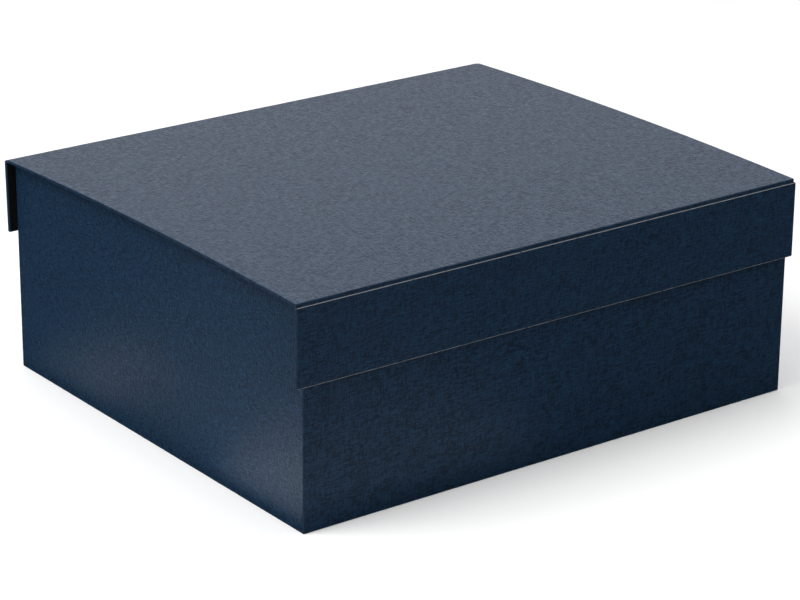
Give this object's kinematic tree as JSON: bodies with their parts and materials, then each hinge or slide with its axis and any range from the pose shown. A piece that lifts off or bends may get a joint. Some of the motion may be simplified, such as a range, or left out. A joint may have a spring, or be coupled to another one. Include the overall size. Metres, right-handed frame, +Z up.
{
  "type": "archival storage box",
  "caption": "Rigid paper-covered archival storage box: an open tray and a crowned lift-off lid with a creased flap hanging at the front and the back.",
  "frame": {"origin": "middle of the underside, on the surface the box stands on", "axes": "+X along the long side, to the right of someone facing the front flap; -Y towards the front; +Z up, out of the tray's mouth"},
  "size_m": [0.4096, 0.3495, 0.1562],
  "materials": {
    "grey_board": "matte grey board, cut edges hidden under the paper",
    "navy_cover_paper": "satin navy cover paper with a fine linen grain",
    "black_lining_paper": "matte black lining paper",
    "kraft_stay_tape": "matte gummed kraft paper tape"
  },
  "bodies": {
    "tray": {"bottom_board": "grey_board", "front_wall_board": "grey_board", "back_wall_board": "grey_board", "left_wall_board": "grey_board", "right_wall_board": "grey_board", "corner_stays": "kraft_stay_tape", "tray_cover_paper": "navy_cover_paper", "base_sheet": "navy_cover_paper", "tray_wall_lining": "black_lining_paper", "tray_floor_lining": "black_lining_paper"},
    "back_flap": {"back_flap_board": "grey_board", "back_flap_cover_paper": "navy_cover_paper", "back_flap_lining": "black_lining_paper"},
    "lid_top": {"lid_top_board": "grey_board", "lid_top_cover_paper": "navy_cover_paper", "lid_top_lining": "black_lining_paper", "front_crease_paper": "navy_cover_paper", "front_crease_lining": "black_lining_paper", "back_crease_paper": "navy_cover_paper", "back_crease_lining": "black_lining_paper"},
    "front_flap": {"front_flap_board": "grey_board", "front_flap_cover_paper": "navy_cover_paper", "front_flap_lining": "black_lining_paper"}
  },
  "joints": [
    {"name": "lid_lift", "type": "slide", "parent": "tray", "child": "back_flap", "axis": [0, 0, 1], "range_m": [0, 0.08]},
    {"name": "lid_tip", "type": "hinge", "parent": "back_flap", "child": "lid_top", "pos_m": [0, 0.17222, 0.14968], "axis": [-1, 0, 0], "range_deg": [0, 95], "deforming": ["back_crease_paper", "back_crease_lining"]},
    {"name": "front_flap_fold", "type": "hinge", "parent": "lid_top", "child": "front_flap", "pos_m": [0, -0.174, 0.1536], "axis": [-1, 0, 0], "range_deg": [0, 90], "deforming": ["front_crease_paper", "front_crease_lining"]}
  ]
}
